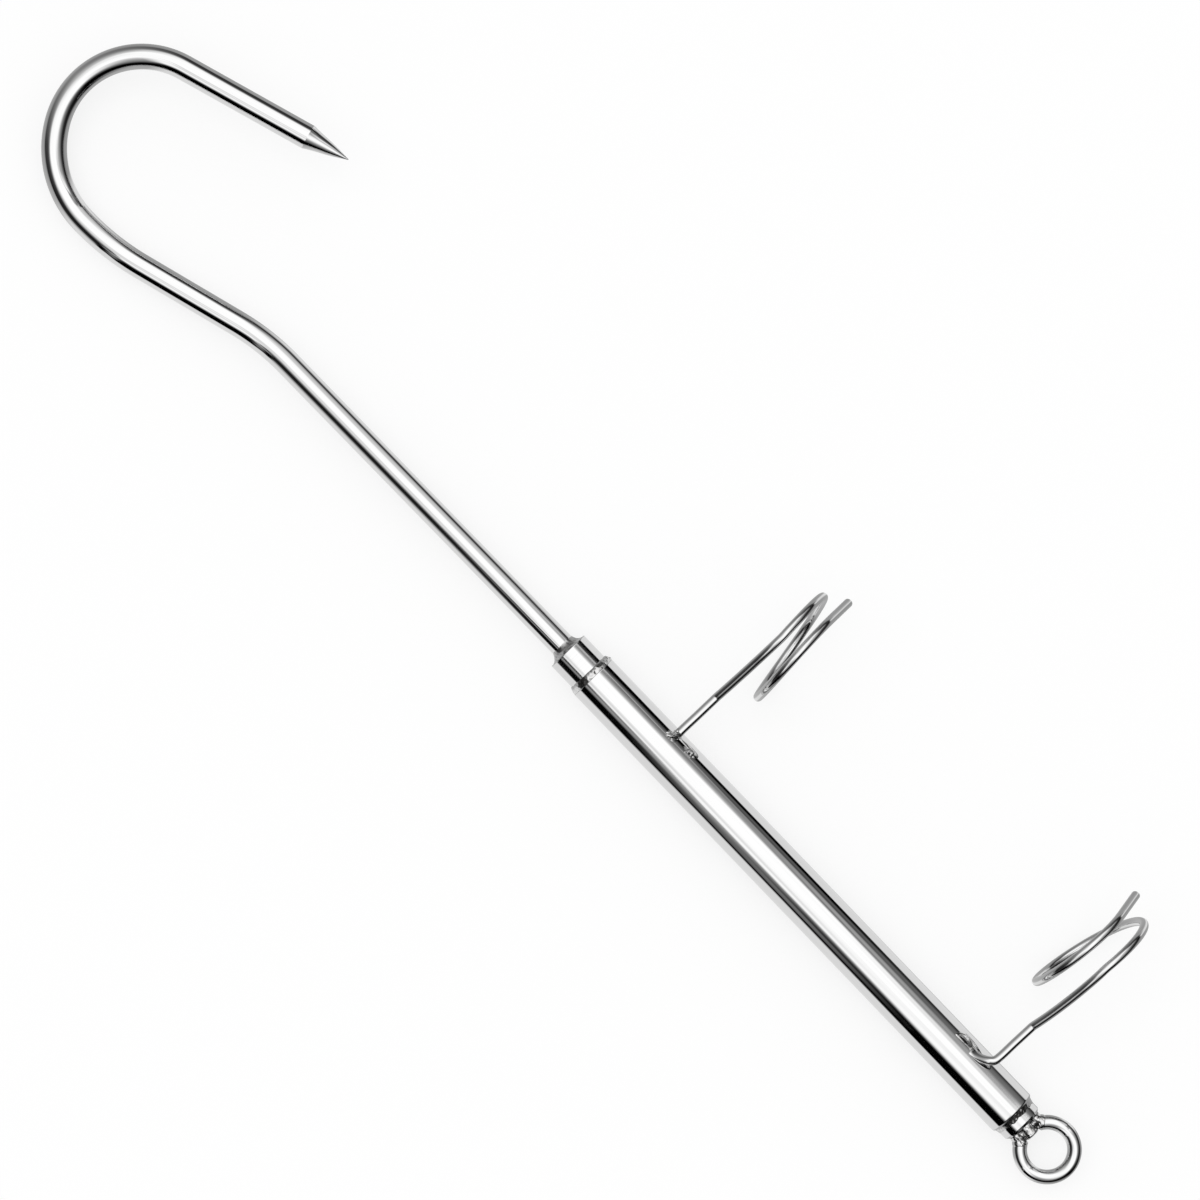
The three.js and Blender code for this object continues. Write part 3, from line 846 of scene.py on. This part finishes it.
tail = []
for i in range(TAIL_STEPS + 1):
    t = i / TAIL_STEPS
    rise = TAIL_RISE * (1 - t) ** TAIL_POWER
    tail.append((TAIL_START + TAIL_RUN * t, PLUG_RADIUS - TAIL_FOOT + rise))
points, faces, valley = ring_bead(
    tail, PLUG_RADIUS - TAIL_SEAT, lumps=0.13, pitch=1.3, seed=TAIL_SEED, sides=FINE_BEAD_SIDES,
)
# Painted dark reflection, darker where the bead faces along Z, broken by clean bright spots
upward = np.abs(points[:, 2]) / np.hypot(points[:, 1], points[:, 2])
painted_dark_reflection = TAIL_PAINTED_DARK * np.clip((upward - TAIL_PAINTED_FROM_SHARE) / TAIL_PAINTED_EASE_SHARE, 0, 1)
bright = [max(rough(p, TAIL_BRIGHT_SIZE, TAIL_SEED + 1) - TAIL_BRIGHT_FROM, 0.0) for p in points]
valley = np.array(valley) * TAIL_VALLEY_SHARE + painted_dark_reflection - TAIL_BRIGHT * np.array(bright)
weld_piece("tail_bead", "tail_plug_weld", points, faces, valley)

# Rope eye
ring_turn = math.tau - 2 * RING_OPEN
ring_points = []
for i in range(RING_STEPS + 1):
    t = math.pi - RING_OPEN - ring_turn * i / RING_STEPS
    ring_points.append((RING_CENTRE + RING_RADIUS * math.cos(t), RING_RADIUS * math.sin(t), 0.0))
ring_sections = plain_sections(RING_RADIUS * ring_turn - RING_SHORT, RING_BAR, RING_SPACING, RING_END_EDGE)
points, faces, flow = swept(np.array(ring_points), ring_sections, RING_SIDES)
piece("eye_ring_bar", "eye_ring", points, faces, polished_bar, flow, crease=50.0)

stub_run = STUB_END - PLUG_FACE + STUB_OVERRUN
stub_places = [PLUG_FACE - STUB_SUNK + stub_run * i / STUB_BAYS for i in range(STUB_BAYS - 1)]
stub_profile = [(x, STUB_RADIUS) for x in (*stub_places, STUB_END - STUB_EDGE)]
stub_profile += [(STUB_END, STUB_RADIUS - STUB_EDGE), (STUB_END, STUB_RADIUS / 2)]
points, faces = turned(stub_profile, STUB_SIDES, closed=False)
stub, stub_valley = [], []
for p in points:
    wave = rough(p, STUB_WAVE_SIZE, STUB_SEED)
    swell = STUB_WAVE * wave + STUB_BUMP * rough(p, STUB_BUMP_SIZE, STUB_SEED + 1)
    radius = math.hypot(p[1], p[2])
    if p[0] < STUB_END - STUB_SMOOTH_END and radius > 0:
        stub.append(p + np.array([0, p[1], p[2]]) / radius * swell)
    else:
        stub.append(p)
    stub_valley.append(STUB_SCALE - STUB_WAVE_SCALE * wave if p[0] < STUB_END - STUB_CLEAN_END else 0.0)
piece(
    "eye_stub_bar", "eye_stub", stub, faces, weld_metal,
    crease=50.0, valley=np.clip(stub_valley, 0, 1),
)


def eye_painted_shade(p):
    """Painted shade in the hollows on either side of the stub, more on one side, and at the plug's face."""
    x, y, _ = p
    if y > 0:
        away = ((x - PATCH_X) / HOLLOW_SIZE) ** 2 + ((y - PATCH_Y) / HOLLOW_SIZE) ** 2
        patch = PATCH_DARK * math.exp(-away ** 2)
    else:
        mottle = 1.0 + rough(p, BUMP_SIZE, HOLLOW_SHADE_SEED)
        patch = FAR_PATCH_DARK * math.exp(-((y - FAR_PATCH_Y) / FAR_PATCH_SIZE) ** 2) * mottle
    mottle = 1.0 + HOLLOW_MOTTLE * rough(p, HOLLOW_SIZE, HOLLOW_SHADE_SEED + 2)
    hollow = HOLLOW_DARK * math.exp(-((abs(y) - HOLLOW_Y) / HOLLOW_SIZE) ** 2) * mottle
    root = ROOT_DARK * math.exp(-((x - PLUG_FACE) / ROOT_SIZE) ** 2)
    return max(patch, root, hollow)


for name, node, side in (("eye_fill_left", "eye_weld_left", 1), ("eye_fill_right", "eye_weld_right", -1)):
    angle = side * FILL_ANGLE
    reach = RING_RADIUS + FILL_OUT
    cap_place = (RING_CENTRE - reach * math.cos(angle), reach * math.sin(angle), 0.0)
    parts = [(cap_place, FILL_CAP, Matrix.Rotation(-angle, 3, "Z"))]
    for behind, aside, sizes in FILL_PARTS:
        parts.append(((PLUG_FACE + behind, side * aside, 0.0), sizes, Matrix.Identity(3)))
    axes = ((0.0, 1.0, 0.0), (1.0, 0.0, 0.0))
    # Each fill's surface carries painted shade in the hollows beside the stub and at its root
    weld(name, node, parts, axes, pitch=1.9, bumps=0.06, seed=FILL_SEED + side, voxel=0.16, scale=eye_painted_shade)


# Line guides
def on_tube(x, out, angle):
    """Point at a distance out from the tube's axis and an angle round it."""
    return (x, out * math.cos(angle), out * math.sin(angle))


def foot_part(x, out, angle, sizes, aslant):
    """Ellipsoid on the tube: sizes along it, outwards and round it, turned aslant on its seat."""
    turn = Matrix.Rotation(angle, 3, "X") @ Matrix.Rotation(aslant, 3, "Y")
    return (on_tube(x, out, angle), sizes, turn)


def low_bead(name, node, g, offsets, rows, dark_patch, arch=None):
    """Low weld spread on the tube, from rows of heights above it at offsets along it. An offset
    counts from a guide's stem. Its dark patch argument gives a patch in its undercut, partly scale
    and partly painted shade: its offset, y and length. arch rounds its outline: the middle's offset
    and y, and half its sizes along the tube and away from the middle line."""
    station = g["station"]
    stations = [station + offset for offset in offsets]
    xs = np.linspace(stations[0], stations[-1], round((stations[-1] - stations[0]) / GRID_STEP))
    ys = np.linspace(FOOT_COLUMNS[0], FOOT_COLUMNS[-1], GRID_COLUMNS)
    across = np.stack([np.interp(ys, FOOT_COLUMNS, row) for row in rows])
    heights = np.stack([np.interp(xs, stations, column) for column in across.T], 1)
    if arch:
        arch_offset, arch_y, half_length, half_width = arch
        out = np.maximum(ys - arch_y, 0.0) / half_width
        inside = 1 - ((xs[:, None] - station - arch_offset) / half_length) ** 2 - out[None, :] ** 2
        heights = SUNK + (heights - SUNK) * np.clip(inside * ARCH_SLOPE, 0.0, 1.0)
    for _ in range(GRID_SMOOTHINGS):
        wide = np.pad(heights, 1, mode="edge")
        around = wide[:-2, 1:-1] + wide[2:, 1:-1] + wide[1:-1, :-2] + wide[1:-1, 2:]
        heights = (heights * 4 + around) / 8
    patch_offset, patch_y, patch_length = dark_patch
    top, seat, valley = [], [], []
    for x, row in zip(xs, heights):
        for y, height in zip(ys, row):
            angle = math.acos(y / TUBE_RADIUS)
            ripples = RIPPLE_HEIGHT * rough((x, y, 0), RIPPLE_SIZE, RIPPLE_SEED)
            top.append(on_tube(x, TUBE_RADIUS + height + ripples, angle))
            seat.append(on_tube(x, SEAT_RADIUS, angle))
            # Dark patch in the undercut, partly scale and partly painted shade
            along, aside = (x - station - patch_offset) / patch_length, (y - patch_y) / UNDERCUT_WIDTH
            valley.append(BEAD_SHADE + UNDERCUT_DARK * math.exp(-(along ** 2 + aside ** 2) ** 2))
    wide, count = len(ys), len(top)
    quads = [
        (i * wide + k, (i + 1) * wide + k, (i + 1) * wide + k + 1, i * wide + k + 1)
        for i in range(len(xs) - 1) for k in range(wide - 1)
    ]
    edges = {(q[i], q[(i + 1) % 4]) for q in quads for i in range(4)}
    rim = [(b, a, a + count, b + count) for a, b in edges if (b, a) not in edges]
    faces = quads + [tuple(count + k for k in reversed(q)) for q in quads] + rim
    weld_piece(name, node, np.array(top + seat), faces, valley + [0.0] * count)


def faded(row, share):
    """Row of heights that has partly sunk under the tube's surface."""
    return [SUNK + (height - SUNK) * share for height in row]


for label, g in (("front", FRONT), ("rear", REAR)):
    line = guide_line(g)
    run = float(np.sum(np.linalg.norm(np.diff(line, axis=0), axis=1)))
    points, faces, flow = swept(line, plain_sections(run, WIRE_RADIUS, WIRE_STEP, WIRE_EDGE), WIRE_SIDES)
    points = press_foot(points, flow, g)
    piece(f"{label}_guide", f"{label}_guide_wire", points, faces, drawn_wire, flow, crease=60.0)

round_tube = (0.0, -math.sin(FOOT_ANGLE), math.cos(FOOT_ANGLE))
front_heel = [
    foot_part(FRONT["station"] + offset, out, math.radians(angle), sizes, FRONT_HEEL_ASLANT)
    for offset, out, angle, sizes in FRONT_HEEL_PARTS
]
front_heel.append((*FRONT_HEEL_DROP, Matrix.Identity(3)))
weld(
    "front_heel_bead", "front_guide_heel_weld", front_heel, ((1.0, 0.0, 0.0), round_tube),
    pitch=1.7, bumps=0.03, seed=72, voxel=0.13,
)
low_bead(
    "front_heel_pad", "front_guide_heel_weld", FRONT, [-2.3, -1.1, -0.1, 1.1, 2.7],
    [faded(PAD_ROW, share) for share in (0.0, 0.8, 1.0, 0.8, 0.0)],
    dark_patch=(0.5, 7.0, 0.1),
)
low_bead(
    "front_toe_bead", "front_guide_toe_weld", FRONT, [6.4, 7.1, 8.1, 9.7, 11.1],
    [faded(FRONT_ROW, share) for share in (1.0, 1.0, 1.0, 1.0, 0.0)],
    dark_patch=(8.5, 6.3, 0.5), arch=(8.7, 5.9, 2.4, 2.7),
)
low_bead(
    "front_toe_ridge", "front_guide_toe_weld", FRONT, [1.9, 3.9, 5.9, 7.7],
    [faded(RIDGE_ROW, share) for share in (0.2, 0.8, 1.0, 1.0)],
    dark_patch=(8.5, 6.3, 0.1),
)
low_bead(
    "rear_heel_bead", "rear_guide_heel_weld", REAR, [-11.6, -9.6, -8.0, -6.6, -4.6],
    [faded(HEEL_ROW, share) for share in (0.0, 1.0, 1.0, 0.8, 0.0)],
    dark_patch=(-4.6, 7.0, 0.1),
)
low_bead(
    "rear_toe_bead", "rear_guide_toe_weld", REAR, [-18.6, -16.6, -13.6, -10.6, -8.2],
    [REAR_RISE, REAR_RISE, REAR_ROW, REAR_ROW, faded(REAR_ROW, 0.6)],
    dark_patch=(-13.9, 6.15, 2.3), arch=(-13.4, 5.6, 5.0, 3.0),
)

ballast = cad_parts["ballast_weight"]
ballast.data.materials.clear()
ballast.data.materials.append(cast_lead)

# Studio
# The room as the steel mirrors it. A stop is (degrees from +Z, level). Overhead hangs a white
# softbox, grey walls stand round it, and a dark gap below them draws the steel's black lines.
# From about 95 degrees down lies the table, pale on both sides of the tube and grey elsewhere.
TABLE = 0.66
SOFTBOX = 1.24
FILL_LIGHT = 0.8

# Walls on either side of the tube, which the lists below put in their places
MOUTH_LEFT = [
    (0, 1), (16, 1), (22, 0.78), (27, 0.66), (36, 0.9), (41, 0.15), (50, 0.28), (56, 0.13), (60, 0),
    (86, 0), (94, TABLE),
]
MOUTH_RIGHT = [
    (0, 1), (31, 1), (36, 0.7), (41, 0.4), (50, 0.21), (58, 0.12), (61, 0.45), (64, 0.2), (71, 0.1),
    (77, 0.02), (80, 0), (93, 0), (97, TABLE),
]
COLLAR_LEFT = [
    (0, 1), (16, 1), (22, 0.78), (27, 0.66), (35, 0.9), (38.5, 0), (44, 0), (50, 0.28), (55, 0.13),
    (58, 0), (86, 0), (91, TABLE),
]
COLLAR_RIGHT = [
    (0, 1), (31, 1), (36, 0.7), (41, 0.4), (50, 0.21), (57, 0.45), (61, 0.5), (65, 0.1), (68, 0),
    (92, 0), (96, TABLE),
]
TAIL_RIGHT = [
    (0, 1), (18, 1), (24, 0.65), (33, 0.6), (38, 0.38), (50, 0.32), (62, 0.17), (76, 0.13), (84, 0.07),
    (91, 0.01), (97, TABLE),
]
RING_WALL = [
    (0, 1), (44, 1), (52, 0.6), (60, 0.17), (70, 0.1), (78, 0.05), (86, 0.01), (95, 0), (100, TABLE),
]

# Walls on the side of -Y, by how much of a direction points along +X
LEFT_WALLS = [
    (-0.018, [
        (0, 1), (7, 0.85), (14, 0.67), (26, 0.7), (33, 0.5), (38, 0.22), (47, 0.04), (54, 0),
        (74, 0.03), (82, 0.28), (92, 0.5), (104, TABLE),
    ]),
    (0.001, COLLAR_LEFT),
    (0.008, COLLAR_LEFT),
    (0.011, MOUTH_LEFT),
    (0.020, MOUTH_LEFT),
    (0.038, [
        (0, 1), (16, 1), (22, 0.8), (27, 0.7), (36, 1), (42, 0.95), (47, 0.35), (57, 0.22), (66, 0.1),
        (74, 0.07), (80, 0), (84, 0), (91, TABLE),
    ]),
    (0.062, [
        (0, 1), (18, 0.95), (27, 0.7), (37, 1), (42, 0.6), (46, 0.18), (55, 0.04), (60, 0.04),
        (66, 0.16), (74, 0.14), (80, 0), (86, 0), (93, TABLE),
    ]),
    (0.088, [
        (0, 1), (20, 0.88), (28, 0.95), (38, 0.95), (44, 0.6), (50, 0.1), (55, 0), (90, 0), (95, TABLE),
    ]),
]
# Walls on the side of +Y
RIGHT_WALLS = [
    (-0.018, [
        (0, 1), (30, 1), (38, 0.9), (45, 0.62), (60, 0.55), (69, 0.45), (77, 0.22), (83, 0.03),
        (94, 0.03), (100, 0.2), (108, 0.45), (115, TABLE),
    ]),
    (0.001, COLLAR_RIGHT),
    (0.008, COLLAR_RIGHT),
    (0.011, MOUTH_RIGHT),
    (0.020, MOUTH_RIGHT),
    (0.040, [
        (0, 1), (31, 1), (36, 0.7), (41, 0.4), (52, 0.21), (61, 0.24), (65, 0.06), (77, 0.1), (82, 0),
        (93, 0), (97, TABLE),
    ]),
    (0.066, [
        (0, 1), (33, 1), (37, 0.6), (41, 0.15), (46, 0.18), (50, 0.33), (57, 0.33), (64, 0.05),
        (76, 0.1), (82, 0), (93, 0), (97, TABLE),
    ]),
    (0.109, TAIL_RIGHT),
    (0.112, TAIL_RIGHT),
    (0.115, RING_WALL),
]
# Walls at other bearings round +Z
BACK_WALL = [
    (0, 1), (12, 0.95), (22, 0.78), (30, 0.66), (45, 0.45), (60, 0.3), (75, 0.22), (94, 0.2),
    (110, 0.3), (150, 0.4),
]
BACK_LEFT_WALL = [(0, 1), (28, 1), (40, 0.2), (52, 0.05), (84, 0.03), (96, 0.3), (150, 0.4)]
REAR_LEFT_WALL = [(0, 1), (18, 0.9), (30, 0.5), (45, 0.03), (78, 0), (87, 0.35), (150, 0.45)]
FRONT_LEFT_WALL = [
    (0, 1), (8, 1), (18, 0.6), (30, 0.35), (45, 0.2), (62, 0), (84, 0), (95, 0.35), (150, 0.4),
]
END_WALL = [(0, 1), (30, 1), (36, 0.7), (43, 0.25), (50, 0.06), (57, 0), (106, 0), (116, 0.3), (150, 0.35)]
FRONT_RIGHT_WALL = [
    (0, 1), (26, 1), (45, 0.35), (64, 0.1), (72, 0.02), (94, 0.02), (104, 0.26), (150, 0.33),
]
CORNER_WALL = [
    (0, 1), (18, 1), (24, 0.65), (33, 0.6), (38, 0.38), (50, 0.32), (60, 0.17), (70, 0.05), (78, 0.01),
    (93, 0.01), (102, 0.26), (150, 0.33),
]
REAR_RIGHT_WALL = [(0, 1), (52, 1), (62, 0.3), (68, 0.03), (93, 0.02), (102, 0.3), (150, 0.33)]
BACK_RIGHT_WALL = [(0, 1), (34, 1), (44, 0.6), (58, 0.34), (72, 0.16), (90, 0.12), (108, 0.24), (150, 0.33)]

world = bpy.data.worlds.new("studio")
bpy.context.scene.world = world
world.use_nodes = True
w = Nodes(world.node_tree)
direction = w.add("ShaderNodeTexCoord").outputs["Generated"]
turned_back = w.add("ShaderNodeVectorRotate", {"Vector": direction, "Angle": -roll}, rotation_type="X_AXIS")
along, aside, up = w.add("ShaderNodeSeparateXYZ", {0: turned_back.outputs[0]}).outputs
from_axis = w.math("DIVIDE", w.math("ARCCOSINE", up), math.pi)
bearing = w.math("ARCTAN2", aside, along)


def wall(stops):
    """Levels of grey from overhead down to the floor."""
    return w.ramp(from_axis, [(angle / 180, level) for angle, level in stops])


def walls_between(value, places):
    """One wall after another along a value, with (value, wall) in rising order."""
    room = places[0][1]
    for (before, _), (place, colour) in zip(places, places[1:]):
        room = w.mix(w.spread(value, before, place, 0.0, 1.0), room, colour)
    return room


left = walls_between(along, [(place, wall(stops)) for place, stops in LEFT_WALLS])
right = walls_between(along, [(place, wall(stops)) for place, stops in RIGHT_WALLS])
back = wall(BACK_WALL)
front_left = wall(FRONT_LEFT_WALL)
bearings = [
    (-180, back),
    (-141, wall(BACK_LEFT_WALL)),
    (-114, wall(REAR_LEFT_WALL)),
    (-99, left),
    (-70, left),
    (-55, front_left),
    (-42, front_left),
    (0, wall(END_WALL)),
    (48, wall(FRONT_RIGHT_WALL)),
    (68, wall(CORNER_WALL)),
    (80, right),
    (98, right),
    (111, wall(REAR_RIGHT_WALL)),
    (146, wall(BACK_RIGHT_WALL)),
    (180, back),
]
room = walls_between(bearing, [(math.radians(angle), colour) for angle, colour in bearings])
rays = w.add("ShaderNodeLightPath").outputs
mirrored = w.add("ShaderNodeBackground", {"Color": room, "Strength": SOFTBOX}).outputs[0]
strength = w.spread(rays["Is Camera Ray"], 0, 1, FILL_LIGHT, 1.0)
plain = w.add("ShaderNodeBackground", {"Color": grey(1.0), "Strength": strength}).outputs[0]
both = w.add("ShaderNodeMixShader", {0: rays["Is Glossy Ray"], 1: plain, 2: mirrored})
w.add("ShaderNodeOutputWorld", {"Surface": both.outputs[0]})

FLOOR_COLOUR = 0.25
FLOOR_HALF = 4.0
FLOOR_DROP = 0.0001
corner_signs = ((-1, -1), (1, -1), (1, 1), (-1, 1))
corners = [(x * FLOOR_HALF, y * FLOOR_HALF, -FLOOR_DROP) for x, y in corner_signs]
floor_mesh = bpy.data.meshes.new("floor")
floor_mesh.from_pydata(corners, [], [(0, 1, 2, 3)])
floor = bpy.data.objects.new("floor", floor_mesh)
bpy.context.scene.collection.objects.link(floor)
floor.visible_glossy = False
paper, f = new_material("white_table")
seen = f.add("ShaderNodeLightPath").outputs["Is Camera Ray"]
matt = f.add("ShaderNodeBsdfDiffuse", {"Color": grey(FLOOR_COLOUR)}).outputs[0]
fill = f.add("ShaderNodeEmission", {"Strength": f.math("MULTIPLY", seen, 1.0 - FLOOR_COLOUR)}).outputs[0]
lit = f.add("ShaderNodeAddShader", {0: matt, 1: fill}).outputs[0]
below = f.add("ShaderNodeNewGeometry").outputs["Backfacing"]
clear = f.add("ShaderNodeBsdfTransparent").outputs[0]
one_sided = f.add("ShaderNodeMixShader", {0: below, 1: lit, 2: clear}).outputs[0]
f.add("ShaderNodeOutputMaterial", {"Surface": one_sided})
floor_mesh.materials.append(paper)

LAMP_STRENGTH = 0.2 * math.pi
LAMP_WIDTH = math.radians(50)
LAMP_TILT = (math.radians(18), math.radians(-14), 0)
lamp_data = bpy.data.lights.new("soft_lamp", "SUN")
lamp_data.energy = LAMP_STRENGTH
lamp_data.angle = LAMP_WIDTH
lamp = bpy.data.objects.new("soft_lamp", lamp_data)
lamp.rotation_euler = LAMP_TILT
lamp.visible_glossy = False
bpy.context.scene.collection.objects.link(lamp)

# Camera
camera_data = bpy.data.cameras.new("camera")
camera_data.lens = CAMERA_LENS
camera_data.clip_start = 0.1
camera_data.clip_end = 20.0
camera = bpy.data.objects.new("camera", camera_data)
bpy.context.scene.collection.objects.link(camera)
turn = to_row.to_3x3().normalized()
camera_right, camera_up = turn @ Vector(CAMERA_RIGHT), turn @ Vector(CAMERA_UP)
axes = Matrix((camera_right, camera_up, camera_right.cross(camera_up))).transposed()
camera.matrix_world = Matrix.Translation(to_row @ Vector(CAMERA_PLACE)) @ axes.to_4x4()
bpy.context.scene.camera = camera
bpy.context.scene.view_settings.view_transform = "Standard"
